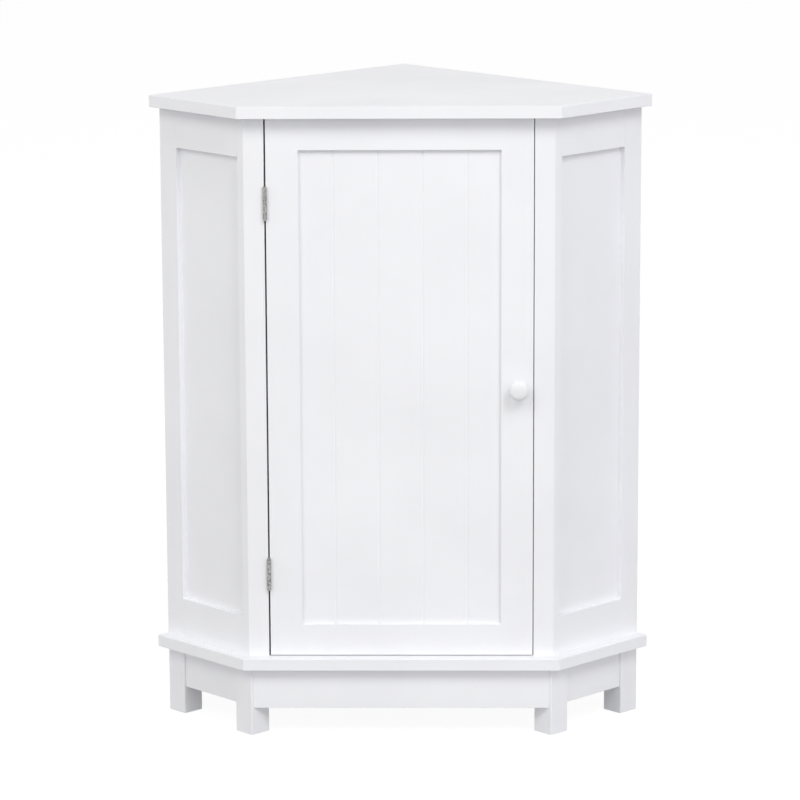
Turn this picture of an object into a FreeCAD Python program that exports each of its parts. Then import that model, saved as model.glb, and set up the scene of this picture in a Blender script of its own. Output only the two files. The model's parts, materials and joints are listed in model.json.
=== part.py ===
import FreeCAD, Part
import os
import re

import Sketcher

# Corner cabinet with one hinged door. +Z is up and the door faces -Y. The back
# corner, which goes into the corner of a room, points to +Y. The origin is on
# the floor, in the middle of the overall width and depth.

# Driving dimensions in millimetres
sizes = {
    # carcass plan: a square corner, two short sides and a slanted front
    "overall_height": 800,
    "carcass_leg": 426.5,
    "side_width": 156,
    "overhang": 17,
    "board": 15,
    "edge_round": 0.6,
    # base
    "leg_height": 87.5,
    "leg_section": 30,
    "leg_round": 1.5,
    "front_leg_side_step": 3,
    "front_leg_front_step": 6.5,
    "apron_height": 52,
    "apron_board": 15,
    "apron_setback": 2.5,
    "front_apron_step": 4.5,
    # framed short sides and front posts
    "wall_stile_width": 30.5,
    "side_rail_width": 50,
    "side_panel_board": 5,
    "side_panel_set": 7,
    "panel_lap": 8,
    "panel_play": 0.5,
    "post_face": 25.15,
    "post_depth": 20,
    "post_return": 11.5,
    "post_round": 1,
    # door
    "door_board": 16,
    "hinge_gap": 2,
    "latch_gap": 1,
    "level_gap": 1,
    "door_frame_width": 39.8,
    "door_panel_board": 6,
    "door_round": 0.6,
    "plank_width": 55,
    "plank_count": 5,
    "groove_width": 5,
    "groove_depth": 1,
    "tenon_length": 20,
    "tenon_board": 5,
    "tenon_inset": 5,
    "tenon_play": 0.2,
    # knob
    "knob_inset": 18,
    "knob_lift": 2,
    "knob_reach": 19.5,
    "knob_rim_radius": 12,
    "knob_neck_radius": 6,
    "knob_neck_length": 8,
    "dome_height": 9,
    "dome_steps": 3,
    "knob_screw_radius": 2,
    "knob_screw_head_radius": 4,
    "knob_screw_head": 2.4,
    "knob_screw_bite": 10,
    "bore_play": 0.05,
    "bore_end_play": 0.5,
    # butt hinges
    "hinge_length": 41,
    "hinge_inset": 105.4,
    "knuckle_count": 6,
    "barrel_radius": 2.5,
    "barrel_clearance": 0.2,
    "leaf_width": 14,
    "leaf_thickness": 1.4,
    "leaf_play": 0.4,
    "leaf_notch": 0.3,
    "knuckle_play": 0.3,
    "hinge_pin_radius": 1.25,
    "hinge_pin_head": 0.8,
    "hinge_pin_head_radius": 2.1,
    "running_fit": 0.05,
    "mortise_play": 0.1,
    # magnetic catch and its strike
    "catch_inset": 44,
    "catch_length": 46,
    "catch_case_length": 28,
    "catch_depth": 14,
    "catch_height": 16,
    "catch_ear": 2.6,
    "catch_gap": 0.3,
    "magnet_length": 22,
    "magnet_depth": 10,
    "magnet_height": 5,
    "pole_thickness": 1.2,
    "pole_reach": 0.6,
    "pole_floor": 3,
    "strike_length": 30,
    "strike_height": 11,
    "strike_thickness": 1.5,
    # shelf and its pins
    "shelf_board": 15,
    "shelf_play": 2,
    "shelf_pin_height": 428,
    "shelf_pin_pitch": 32,
    "shelf_pin_rows": 3,
    "shelf_pin_radius": 2.5,
    "shelf_pin_seat": 8,
    "shelf_pin_reach": 9,
    "shelf_seat_gap": 0.3,
    "shelf_pin_along": 150,
    "post_pin_inset": 16.5,
}

# Places worked out from the driving dimensions
formulas = {
    "bottom_top": "leg_height + board",
    "top_under": "overall_height - board",
    "inside_height": "top_under - bottom_top",
    "front_half": "(carcass_leg - side_width) / sqrt(2)",
    "front_depth": "(carcass_leg + side_width) / sqrt(2)",
    "corner_y": "(front_depth + knob_reach) / 2",
    "front_y": "corner_y - front_depth",
    "plate_leg": "carcass_leg + overhang",
    "plate_side": "side_width + overhang * (sqrt(2) - 1)",
    "side_inner": "carcass_leg - board",
    "leg_outer": "carcass_leg + front_leg_side_step",
    "leg_front": "side_width + front_leg_front_step",
    "apron_foot": "leg_height - apron_height",
    "apron_front": "0 - front_apron_step",
    "apron_back": "apron_board - front_apron_step",
    "apron_end": "front_half - front_leg_front_step * sqrt(2)",
    "rail_length": "side_width - wall_stile_width - post_return",
    "side_panel_inner": "carcass_leg - side_panel_set - side_panel_board",
    "side_panel_foot": "bottom_top + side_rail_width - panel_lap",
    "side_panel_height": "inside_height - 2 * side_rail_width + 2 * panel_lap",
    "side_panel_start": "wall_stile_width - panel_lap",
    "side_panel_width": "rail_length + 2 * panel_lap",
    "opening_half": "front_half - post_face",
    "door_half": "opening_half - (hinge_gap + latch_gap) / 2",
    "door_shift": "(hinge_gap - latch_gap) / 2",
    "door_foot": "bottom_top + level_gap",
    "door_head": "top_under - level_gap",
    "door_height": "door_head - door_foot",
    "door_panel_front": "(door_board - door_panel_board) / 2",
    "door_panel_half": "door_half - door_frame_width + panel_lap",
    "door_panel_foot": "door_foot + door_frame_width - panel_lap",
    "door_panel_height": "door_height - 2 * door_frame_width + 2 * panel_lap",
    "rail_half": "door_half - door_frame_width",
    "tenon_height": "door_frame_width - panel_lap - 2 * tenon_inset",
    "tenon_back": "(door_board - tenon_board) / 2",
    "knob_x": "door_half - knob_inset",
    "knob_z": "(door_foot + door_head) / 2 + knob_lift",
    "hinge_x": "hinge_gap / 2 - opening_half",
    "hinge_y": "0 - barrel_radius - barrel_clearance",
    "upper_hinge_z": "door_head - hinge_inset",
    "lower_hinge_z": "door_foot + hinge_inset",
    "leaf_near": "leaf_play / 2",
    "leaf_far": "leaf_play / 2 + leaf_thickness",
    "leaf_start": "barrel_radius + leaf_notch",
    "tab_start": "hinge_pin_radius + running_fit + leaf_notch",
    "knuckle_pitch": "hinge_length / knuckle_count",
    "knuckle_length": "knuckle_pitch - knuckle_play",
    "mortise_depth": "leaf_far - hinge_gap / 2",
    "mortise_back": "hinge_y + leaf_start + leaf_width + mortise_play",
    "mortise_height": "hinge_length + 2 * mortise_play",
    "catch_x": "opening_half - catch_inset",
    "catch_y": "door_board + strike_thickness + catch_gap + pole_reach",
    "magnet_z": "top_under - catch_height + pole_floor + pole_thickness",
    "pole_bottom_z": "top_under - catch_height + pole_floor",
    "stack_height": "magnet_height + 2 * pole_thickness",
    "strike_z": "magnet_z + magnet_height / 2",
    "shelf_near": "board + shelf_play",
    "shelf_side": "side_inner - shelf_play",
    "shelf_front": "carcass_leg + side_width - (post_depth + shelf_play) * sqrt(2)",
    "shelf_foot": "shelf_pin_height + shelf_pin_radius + shelf_seat_gap",
    "shelf_pin_bore": "shelf_pin_radius + bore_play",
    "post_pin_x": "front_half - post_pin_inset",
    "knob_screw_bore": "knob_screw_radius + bore_play",
    "knob_bore_depth": "knob_screw_bite + bore_end_play",
}

doc = FreeCAD.newDocument("corner_cabinet")
sheet = doc.addObject("Spreadsheet::Sheet", "Sizes")
for row, (name, number) in enumerate(sizes.items(), 1):
    sheet.set(f"A{row}", name)
    sheet.set(f"B{row}", str(number))
    sheet.setAlias(f"B{row}", name)
doc.recompute()

# The carcass is laid out along the two room walls, from the back corner. The
# front is laid out from its middle, and the door from its own middle, because
# its gap is wider on the hinge side.
CORNER = "corner"
FRONT = "front"
DOOR = "door"
frame_turn = {CORNER: 225, FRONT: 0, DOOR: 0}
up = FreeCAD.Vector(0, 0, 1)
close = 0.001
pieces = []


def bind(text):
    """Sheet expression for a formula written in the names above."""
    def resolve(match):
        name = match.group()
        if name in formulas:
            return "(" + bind(formulas[name]) + ")"
        if name in sizes:
            return "Sizes." + name
        return name
    return re.sub(r"[a-z][a-z0-9_]*", resolve, text)


def value(text):
    """Number that a formula gives with the sheet as it stands."""
    return float(sheet.evalExpression(bind(text)))


def seat(item, frame, at=("0", "0", "0"), turn=FreeCAD.Rotation()):
    """Places an item at a point of one of the layout frames."""
    x, y, z = at
    spot = {"x": x, "y": f"front_y + ({y})", "z": z}
    if frame == CORNER:
        spot["x"] = f"(({y}) - ({x})) / sqrt(2)"
        spot["y"] = f"corner_y - (({x}) + ({y})) / sqrt(2)"
    if frame == DOOR:
        spot["x"] = f"door_shift + ({x})"
    spin = FreeCAD.Rotation(up, frame_turn[frame]) * turn
    item.Placement = FreeCAD.Placement(FreeCAD.Vector(), spin)
    for axis, text in spot.items():
        item.setExpression("Placement.Base." + axis, bind(text))


def new_body(label, frame, at=("0", "0", "0")):
    body = doc.addObject("PartDesign::Body", label)
    body.Label = label
    seat(body, frame, at)
    return body


def keep(item):
    """Marks a finished item as a piece of the cabinet."""
    pieces.append(item)
    return item


def origin_feature(body, role):
    return next(item for item in body.Origin.OriginFeatures if item.Role == role)


def sketch_on(body, plane, level):
    """Sketch on one of the body's own planes, raised to a level."""
    sketch = body.newObject("Sketcher::SketchObject", "sketch")
    sketch.AttachmentSupport = [(origin_feature(body, plane), "")]
    sketch.MapMode = "FlatFace"
    sketch.setExpression("AttachmentOffset.Base.z", bind(level))
    return sketch


def tie(sketch, constraint, name, text):
    """Adds a dimension to a sketch and binds it to its formula."""
    sketch.renameConstraint(sketch.addConstraint(constraint), name)
    sketch.setExpression("Constraints." + name, bind(text))


def tie_point(sketch, line, end, point, name):
    for kind, text in zip(("DistanceX", "DistanceY"), point):
        constraint = Sketcher.Constraint(kind, -1, 1, line, end, value(text))
        tie(sketch, constraint, name + kind, text)


def draw_outline(sketch, points):
    """Closed outline of straight lines through points given as formulas."""
    spots = [FreeCAD.Vector(value(x), value(y), 0) for x, y in points]
    following = spots[1:] + spots[:1]
    lines = [sketch.addGeometry(Part.LineSegment(*ends)) for ends in zip(spots, following)]
    for line, after in zip(lines, lines[1:] + lines[:1]):
        sketch.addConstraint(Sketcher.Constraint("Coincident", line, 2, after, 1))
    for number, (line, point) in enumerate(zip(lines, points)):
        tie_point(sketch, line, 1, point, f"corner{number}")
    return sketch


def draw_box(sketch, x, y, width, depth):
    right = f"({x}) + ({width})"
    far = f"({y}) + ({depth})"
    return draw_outline(sketch, [(x, y), (right, y), (right, far), (x, far)])


def draw_circles(sketch, centres, radius):
    for number, (x, y) in enumerate(centres):
        middle = FreeCAD.Vector(value(x), value(y), 0)
        ring = sketch.addGeometry(Part.Circle(middle, up, value(radius)))
        tie(sketch, Sketcher.Constraint("Radius", ring, value(radius)), f"radius{number}", radius)
        tie_point(sketch, ring, 3, (x, y), f"centre{number}")
    return sketch


def pad(body, sketch, length):
    feature = body.newObject("PartDesign::Pad", "pad")
    feature.Profile = sketch
    feature.setExpression("Length", bind(length))
    doc.recompute()
    return feature


def pocket(body, sketch, depth, reverse=False):
    """Cuts a sketch into the body and makes sure that it met the body."""
    before = body.Shape.Volume
    feature = body.newObject("PartDesign::Pocket", "pocket")
    feature.Profile = sketch
    feature.setExpression("Length", bind(depth))
    feature.Reversed = reverse
    doc.recompute()
    if not body.Shape.Volume < before:
        raise RuntimeError(f"a cut in {body.Label} misses it")
    return feature


def board(label, frame, corner, size):
    """Plain board from its lowest corner and its three sizes."""
    body = new_body(label, frame)
    x, y, z = corner
    width, depth, height = size
    pad(body, draw_box(sketch_on(body, "XY_Plane", z), x, y, width, depth), height)
    return keep(body)


def notch(body, corner, size):
    """Box-shaped groove or mortise."""
    x, y, z = corner
    width, depth, height = size
    sketch = sketch_on(body, "XY_Plane", f"({z}) + ({height})")
    return pocket(body, draw_box(sketch, x, y, width, depth), height)


def bore(body, plane, level, centres, radius, depth, reverse=False):
    """Round blind holes from a plane of the body."""
    sketch = draw_circles(sketch_on(body, plane, level), centres, radius)
    return pocket(body, sketch, depth, reverse)


def soften(body, radius, chosen):
    """Rounds the edges of the body that a test picks out."""
    doc.recompute()
    last = body.Tip
    edges = [f"Edge{number}" for number, edge in enumerate(last.Shape.Edges, 1) if chosen(edge)]
    feature = body.newObject("PartDesign::Fillet", "fillet")
    feature.Base = (last, edges)
    feature.setExpression("Radius", bind(radius))
    doc.recompute()
    return feature


def turned(label, frame, at, profile):
    """Piece turned about its own Z axis, from a profile of radius and height."""
    body = new_body(label, frame, at)
    sketch = draw_outline(sketch_on(body, "XZ_Plane", "0"), profile)
    feature = body.newObject("PartDesign::Revolution", "revolution")
    feature.Profile = sketch
    feature.ReferenceAxis = (sketch, ["V_Axis"])
    feature.Angle = 360
    doc.recompute()
    return body


def group(label, pattern, spots):
    """Identical fixings as one piece: copies of a pattern at (frame, point, turn)."""
    copies = []
    for frame, at, turn in spots:
        copy = doc.addObject("App::Link", label + "_copy")
        copy.setLink(pattern)
        seat(copy, frame, at, turn)
        copies.append(copy)
    compound = doc.addObject("Part::Compound", label)
    compound.Label = label
    compound.Links = copies
    return keep(compound)


def facing(x, y, z):
    """Turn that points an item's Z axis along a direction of its frame."""
    return FreeCAD.Rotation(up, FreeCAD.Vector(x, y, z))


def is_upright(edge):
    return edge.BoundBox.ZLength > max(edge.BoundBox.XLength, edge.BoundBox.YLength)


def middle_of(edge):
    return edge.BoundBox.Center


def runs_through(edge, point):
    return middle_of(edge).isEqual(point, close)


def swap_sides(point, side):
    """The two wall sides mirror each other by exchanging the two wall axes."""
    first, second, *rest = point
    return (second, first, *rest) if side == "right" else (first, second, *rest)


def mirrored(text, side):
    """Distance across the front, to the left or to the right of the middle."""
    return text if side == "right" else f"0 - ({text})"


both_sides = ("left", "right")

# Top and bottom panels: the same outline, flush with the walls, overhanging elsewhere
plate_outline = [
    ("0", "0"),
    ("plate_leg", "0"),
    ("plate_leg", "plate_side"),
    ("plate_side", "plate_leg"),
    ("0", "plate_leg"),
]


def plate(label, foot):
    body = new_body(label, CORNER)
    pad(body, draw_outline(sketch_on(body, "XY_Plane", foot), plate_outline), "board")
    on_wall = value("board") / 2
    soften(body, "edge_round", lambda edge: min(middle_of(edge).x, middle_of(edge).y) > on_wall)
    return keep(body)


plate("top_panel", "top_under")
plate("bottom_panel", "leg_height")


# Back panels along the walls, the left one covering the right one's edge
def back_panel(side):
    start = "0" if side == "left" else "board"
    corner = swap_sides((start, "0", "bottom_top"), side)
    size = swap_sides((f"side_inner - {start}", "board", "inside_height"), side)
    body = board(f"{side}_back_panel", CORNER, corner, size)
    plane, level, reverse = ("YZ_Plane", "board", False)
    if side == "left":
        plane, level, reverse = ("XZ_Plane", "0 - board", True)
    pins = [("shelf_pin_along", row) for row in pin_rows]
    return bore(body, plane, level, pins, "shelf_pin_bore", "shelf_pin_seat + bore_end_play", reverse)


row_count = int(value("shelf_pin_rows"))
pin_rows = [
    f"shelf_pin_height + shelf_pin_pitch * {row - row_count // 2}"
    for row in range(row_count)
]
for side in both_sides:
    back_panel(side)


# Framed short sides: wall stile, two rails and an inset panel in grooves
def side_frame(side):
    stile = board(
        f"{side}_wall_stile", CORNER,
        swap_sides(("side_inner", "0", "bottom_top"), side),
        swap_sides(("board", "wall_stile_width", "inside_height"), side),
    )
    notch(
        stile,
        swap_sides(("side_panel_inner", "side_panel_start", "side_panel_foot"), side),
        swap_sides(("side_panel_board", "panel_lap", "side_panel_height"), side),
    )
    rails = {
        "bottom": ("bottom_top", "side_panel_foot"),
        "top": ("top_under - side_rail_width", "top_under - side_rail_width"),
    }
    for end, (foot, groove_foot) in rails.items():
        rail = board(
            f"{side}_side_{end}_rail", CORNER,
            swap_sides(("side_inner", "wall_stile_width", foot), side),
            swap_sides(("board", "rail_length", "side_rail_width"), side),
        )
        notch(
            rail,
            swap_sides(("side_panel_inner", "wall_stile_width", groove_foot), side),
            swap_sides(("side_panel_board", "rail_length", "panel_lap"), side),
        )

    board(
        f"{side}_side_panel", CORNER,
        swap_sides(
            ("side_panel_inner", "side_panel_start + panel_play", "side_panel_foot + panel_play"), side),
        swap_sides(
            (
                "side_panel_board",
                "side_panel_width - 2 * panel_play",
                "side_panel_height - 2 * panel_play",
            ), side),
    )


for side in both_sides:
    side_frame(side)


# Front posts: bevelled to the short side, so that front and side meet at 135 degrees
def front_post(side):
    body = new_body(f"{side}_front_post", FRONT)
    plan = [
        ("front_half", "0"),
        ("opening_half", "0"),
        ("opening_half", "post_depth"),
        ("front_half - post_depth + post_return * sqrt(2)", "post_depth"),
        ("front_half + post_return / sqrt(2)", "post_return / sqrt(2)"),
    ]
    plan = [(mirrored(x, side), y) for x, y in plan]
    pad(body, draw_outline(sketch_on(body, "XY_Plane", "bottom_top"), plan), "inside_height")
    inner = value("post_depth") / 2
    soften(body, "post_round", lambda edge: is_upright(edge) and middle_of(edge).y < inner / 2)

    # groove for the inset panel, square to the short side
    near = "side_panel_set"
    far = "side_panel_set + side_panel_board"
    lapped = "post_return - panel_lap"
    past_end = "post_return + panel_lap"
    groove_plan = []
    for inward, along in ((near, past_end), (far, past_end), (far, lapped), (near, lapped)):
        x = f"front_half + (({along}) - ({inward})) / sqrt(2)"
        y = f"(({inward}) + ({along})) / sqrt(2)"
        groove_plan.append((mirrored(x, side), y))
    sketch = sketch_on(body, "XY_Plane", "side_panel_foot + side_panel_height")
    pocket(body, draw_outline(sketch, groove_plan), "side_panel_height")

    pins = [(mirrored("post_pin_x", side), row) for row in pin_rows]
    bore(
        body, "XZ_Plane", "0 - post_depth", pins,
        "shelf_pin_bore", "shelf_pin_seat + bore_end_play", True,
    )
    return keep(body)


hinge_levels = {"upper": "upper_hinge_z", "lower": "lower_hinge_z"}
posts = {side: front_post(side) for side in both_sides}
for level in hinge_levels.values():
    foot = f"{level} - mortise_height / 2"
    notch(
        posts["left"],
        ("0 - opening_half - mortise_depth", "0", foot),
        ("mortise_depth", "mortise_back", "mortise_height"),
    )

# Base: five square legs turned with the walls, and three aprons between the visible ones
leg_corners = {"back_leg": ("0", "0")}
for side in both_sides:
    leg_corners[f"{side}_side_leg"] = swap_sides(("carcass_leg - leg_section", "0"), side)
    front_spot = ("leg_outer - leg_section", "leg_front - leg_section")
    leg_corners[f"{side}_front_leg"] = swap_sides(front_spot, side)
for label, (along, across) in leg_corners.items():
    leg = board(label, CORNER, (along, across, "0"), ("leg_section", "leg_section", "leg_height"))
    soften(leg, "leg_round", is_upright)

for side in both_sides:
    board(
        f"{side}_apron", CORNER,
        swap_sides(("carcass_leg - apron_setback - apron_board", "leg_section", "apron_foot"), side),
        swap_sides(("apron_board", "leg_front - 2 * leg_section", "apron_height"), side),
    )

front_apron = new_body("front_apron", FRONT)
apron_plan = [
    ("0 - apron_end + apron_front", "apron_front"),
    ("apron_end - apron_front", "apron_front"),
    ("apron_end - apron_back", "apron_back"),
    ("0 - apron_end + apron_back", "apron_back"),
]
apron_sketch = draw_outline(sketch_on(front_apron, "XY_Plane", "apron_foot"), apron_plan)
pad(front_apron, apron_sketch, "apron_height")
keep(front_apron)

# Shelf: follows the inside of the carcass and rests on pins in backs and posts
shelf = new_body("shelf", CORNER)
shelf_plan = [
    ("shelf_near", "shelf_near"),
    ("shelf_side", "shelf_near"),
    ("shelf_side", "shelf_front - shelf_side"),
    ("shelf_front - shelf_side", "shelf_side"),
    ("shelf_near", "shelf_side"),
]
pad(shelf, draw_outline(sketch_on(shelf, "XY_Plane", "shelf_foot"), shelf_plan), "shelf_board")
keep(shelf)

# Door frame: stiles run full height, rails are tenoned between them
door_stiles = {}
for name, side in (("hinge", "left"), ("latch", "right")):
    outer = "0 - door_half" if side == "left" else "door_half - door_frame_width"
    inner = "0 - rail_half" if side == "left" else "rail_half"
    lap_start = f"{inner} - panel_lap" if side == "left" else inner
    tenon_start = f"{inner} - tenon_length" if side == "left" else inner
    stile = board(
        f"door_{name}_stile", DOOR,
        (outer, "0", "door_foot"), ("door_frame_width", "door_board", "door_height"),
    )
    middle = value(mirrored("door_half - door_frame_width / 2", side))
    front_edges = [
        FreeCAD.Vector(value(mirrored("door_half", side)), 0, value("knob_z")),
        FreeCAD.Vector(middle, 0, value("door_foot")),
        FreeCAD.Vector(middle, 0, value("door_head")),
    ]
    soften(stile, "door_round", lambda edge: any(runs_through(edge, point) for point in front_edges))
    notch(
        stile, (lap_start, "door_panel_front", "door_panel_foot"),
        ("panel_lap", "door_panel_board", "door_panel_height"),
    )
    for foot in ("door_foot + tenon_inset", "door_head - tenon_inset - tenon_height"):
        notch(
            stile, (tenon_start, "tenon_back - tenon_play / 2", f"{foot} - tenon_play / 2"),
            ("tenon_length", "tenon_board + tenon_play", "tenon_height + tenon_play"),
        )
    door_stiles[name] = stile

for level in hinge_levels.values():
    foot = f"{level} - mortise_height / 2"
    notch(
        door_stiles["hinge"],
        ("0 - door_half", "0", foot),
        ("mortise_depth", "mortise_back", "mortise_height"),
    )
bore(
    door_stiles["latch"], "XZ_Plane", "0 - door_board",
    [("knob_x", "knob_z")], "knob_screw_bore", "door_board", True,
)

rail_places = {
    "bottom": ("door_foot", "door_panel_foot", "door_foot + tenon_inset"),
    "top": (
        "door_head - door_frame_width",
        "door_head - door_frame_width",
        "door_head - tenon_inset - tenon_height",
    ),
}
for end, (foot, groove_foot, tenon_foot) in rail_places.items():
    rail = board(
        f"door_{end}_rail", DOOR,
        ("0 - rail_half", "0", foot), ("2 * rail_half", "door_board", "door_frame_width"),
    )
    outer_edge = FreeCAD.Vector(0, 0, value("door_foot" if end == "bottom" else "door_head"))
    soften(rail, "door_round", lambda edge: runs_through(edge, outer_edge))
    notch(
        rail, ("0 - rail_half", "door_panel_front", groove_foot),
        ("2 * rail_half", "door_panel_board", "panel_lap"),
    )
    reach = "tenon_length - tenon_play"
    for start in (f"0 - rail_half - ({reach})", "rail_half"):
        sketch = sketch_on(rail, "XY_Plane", tenon_foot)
        pad(rail, draw_box(sketch, start, "tenon_back", reach, "tenon_board"), "tenon_height")

# Door panel: V grooves part it into planks
door_panel = board(
    "door_panel", DOOR,
    ("panel_play - door_panel_half", "door_panel_front", "door_panel_foot + panel_play"),
    ("2 * (door_panel_half - panel_play)", "door_panel_board", "door_panel_height - 2 * panel_play"),
)
first_groove = "0 - plank_width * (plank_count - 2) / 2"
groove_top = "door_panel_foot + door_panel_height - panel_play"
groove_sketch = draw_outline(
    sketch_on(door_panel, "XY_Plane", groove_top),
    [
        (f"{first_groove} - groove_width / 2", "door_panel_front"),
        (f"{first_groove} + groove_width / 2", "door_panel_front"),
        (first_groove, "door_panel_front + groove_depth"),
    ],
)
groove = pocket(door_panel, groove_sketch, "door_panel_height - 2 * panel_play")
grooves = door_panel.newObject("PartDesign::LinearPattern", "grooves")
grooves.Originals = [groove]
grooves.Direction = (groove_sketch, ["H_Axis"])
grooves.setExpression("Length", bind("plank_width * (plank_count - 2)"))
grooves.setExpression("Occurrences", bind("plank_count - 1"))
door_panel.Tip = grooves

# Knob: a head on a neck, its dome turned in straight steps
knob_profile = [
    ("0", "0"),
    ("knob_neck_radius", "0"),
    ("knob_neck_radius", "knob_neck_length"),
    ("knob_rim_radius", "knob_neck_length"),
]
step_count = int(value("dome_steps"))
for step in range(step_count):
    knob_profile.append((
        f"knob_rim_radius * cos(90 * {step} / dome_steps)",
        f"knob_reach - dome_height * (1 - sin(90 * {step} / dome_steps))",
    ))
knob_profile.append(("0", "knob_reach"))
knob = turned("door_knob", DOOR, ("0", "0", "0"), knob_profile)
seat(knob, DOOR, ("knob_x", "0", "knob_z"), facing(0, -1, 0))
bore(knob, "XY_Plane", "0", [("0", "0")], "knob_screw_bore", "knob_bore_depth", True)
keep(knob)

knob_screw_profile = [
    ("0", "0 - door_board - knob_screw_bite"),
    ("knob_screw_radius", "0 - door_board - knob_screw_bite"),
    ("knob_screw_radius", "0"),
    ("knob_screw_head_radius", "0"),
    ("knob_screw_head_radius", "knob_screw_head"),
    ("0", "knob_screw_head"),
]
knob_screw = turned("knob_screw", DOOR, ("0", "0", "0"), knob_screw_profile)
seat(knob_screw, DOOR, ("knob_x", "door_board", "knob_z"), facing(0, 1, 0))
keep(knob_screw)


# Butt hinges: interleaved knuckles on a loose pin, leaves let into post and door
def hinge_leaf(label, level, side):
    """Leaf with every second knuckle. The post leaf has the lowest one."""
    body = new_body(label, FRONT, ("hinge_x", "hinge_y", level))
    on_post = side == "left"
    count = int(value("knuckle_count"))
    own = (count + 1) // 2 if on_post else count // 2
    near = "0 - leaf_far" if on_post else "leaf_near"
    plate_sketch = draw_box(
        sketch_on(body, "XY_Plane", "0 - hinge_length / 2"),
        near, "leaf_start", "leaf_thickness", "leaf_width")
    pad(body, plate_sketch, "hinge_length")
    first = "0 - hinge_length / 2 + knuckle_play / 2"
    if not on_post:
        first = first + " + knuckle_pitch"
    tab_sketch = draw_box(
        sketch_on(body, "XY_Plane", first), near, "tab_start", "leaf_thickness", "leaf_start - tab_start")
    tab = pad(body, tab_sketch, "knuckle_length")
    ring_sketch = draw_circles(sketch_on(body, "XY_Plane", first), [("0", "0")], "barrel_radius")
    ring = pad(body, ring_sketch, "knuckle_length")
    knuckles = body.newObject("PartDesign::LinearPattern", "knuckles")
    knuckles.Originals = [tab, ring]
    knuckles.Direction = (origin_feature(body, "Z_Axis"), [""])
    knuckles.setExpression("Length", bind(f"2 * knuckle_pitch * {own - 1}"))
    knuckles.Occurrences = own
    body.Tip = knuckles
    doc.recompute()
    pin_bore = "hinge_pin_radius + running_fit"
    bore(body, "XY_Plane", "hinge_length / 2", [("0", "0")], pin_bore, "hinge_length")
    return keep(body)


hinge_pin_profile = [
    ("0", "0 - hinge_length / 2 - hinge_pin_head"),
    ("hinge_pin_head_radius", "0 - hinge_length / 2 - hinge_pin_head"),
    ("hinge_pin_head_radius", "0 - hinge_length / 2"),
    ("hinge_pin_radius", "0 - hinge_length / 2"),
    ("hinge_pin_radius", "hinge_length / 2"),
    ("hinge_pin_head_radius", "hinge_length / 2"),
    ("hinge_pin_head_radius", "hinge_length / 2 + hinge_pin_head"),
    ("0", "hinge_length / 2 + hinge_pin_head"),
]
for name, level in hinge_levels.items():
    hinge_leaf(f"{name}_hinge_post_leaf", level, "left")
    hinge_leaf(f"{name}_hinge_door_leaf", level, "right")
    keep(turned(f"{name}_hinge_pin", FRONT, ("hinge_x", "hinge_y", level), hinge_pin_profile))

# Magnetic catch under the top panel, and its strike on the back of the door
catch = board(
    "catch_housing", FRONT,
    ("catch_x - catch_length / 2", "catch_y", "top_under - catch_ear"),
    ("catch_length", "catch_depth", "catch_ear"),
)
catch_foot = "top_under - catch_height"
case_sketch = draw_box(
    sketch_on(catch, "XY_Plane", catch_foot),
    "catch_x - catch_case_length / 2", "catch_y", "catch_case_length", "catch_depth")
pad(catch, case_sketch, "catch_height")
notch(
    catch, ("catch_x - magnet_length / 2", "catch_y", "pole_bottom_z"),
    ("magnet_length", "magnet_depth", "stack_height"),
)
board(
    "catch_magnet", FRONT,
    ("catch_x - magnet_length / 2", "catch_y", "magnet_z"),
    ("magnet_length", "magnet_depth", "magnet_height"),
)
pole_plate = new_body("pole_plate", FRONT)
pole_size = ("magnet_length", "magnet_depth + pole_reach")
pad(
    pole_plate,
    draw_box(sketch_on(pole_plate, "XY_Plane", "0"), "0 - magnet_length / 2", "0 - pole_reach", *pole_size),
    "pole_thickness",
)
group("catch_pole_plates", pole_plate, [
    (FRONT, ("catch_x", "catch_y", level), FreeCAD.Rotation())
    for level in ("pole_bottom_z", "magnet_z + magnet_height")
])

board(
    "strike_plate", FRONT,
    ("catch_x - strike_length / 2", "door_board", "strike_z - strike_height / 2"),
    ("strike_length", "strike_thickness", "strike_height"),
)

# Shelf pins: pushed into the backs and into the posts, in the middle row of holes
shelf_pin = turned("shelf_pin", FRONT, ("0", "0", "0"), [
    ("0", "0 - shelf_pin_seat"),
    ("shelf_pin_radius", "0 - shelf_pin_seat"),
    ("shelf_pin_radius", "shelf_pin_reach"),
    ("0", "shelf_pin_reach"),
])
pin_spots = []
for side in both_sides:
    inward = facing(*swap_sides((0, 1, 0), side))
    pin_spots.append((CORNER, swap_sides(("shelf_pin_along", "board", "shelf_pin_height"), side), inward))
    post_spot = (mirrored("post_pin_x", side), "post_depth", "shelf_pin_height")
    pin_spots.append((FRONT, post_spot, facing(0, 1, 0)))
group("shelf_pins", shelf_pin, pin_spots)

doc.recompute()

# Every object must be sound before anything is written
for item in doc.Objects:
    if "Invalid" in item.State or "Error" in item.State:
        raise RuntimeError(f"{item.Label} did not build: {item.State}")
for piece in pieces:
    if piece.Shape.isNull() or not piece.Shape.isValid() or not piece.Shape.Solids:
        raise RuntimeError(f"{piece.Label} has no valid solid")

os.makedirs("parts", exist_ok=True)
for piece in pieces:
    piece.Shape.exportStep(f"parts/{piece.Label}.step")
print(f"{len(pieces)} pieces, {sum(len(piece.Shape.Solids) for piece in pieces)} solids")
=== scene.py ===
import json
import math

import bmesh
import bpy
from mathutils import Matrix, Vector

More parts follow.
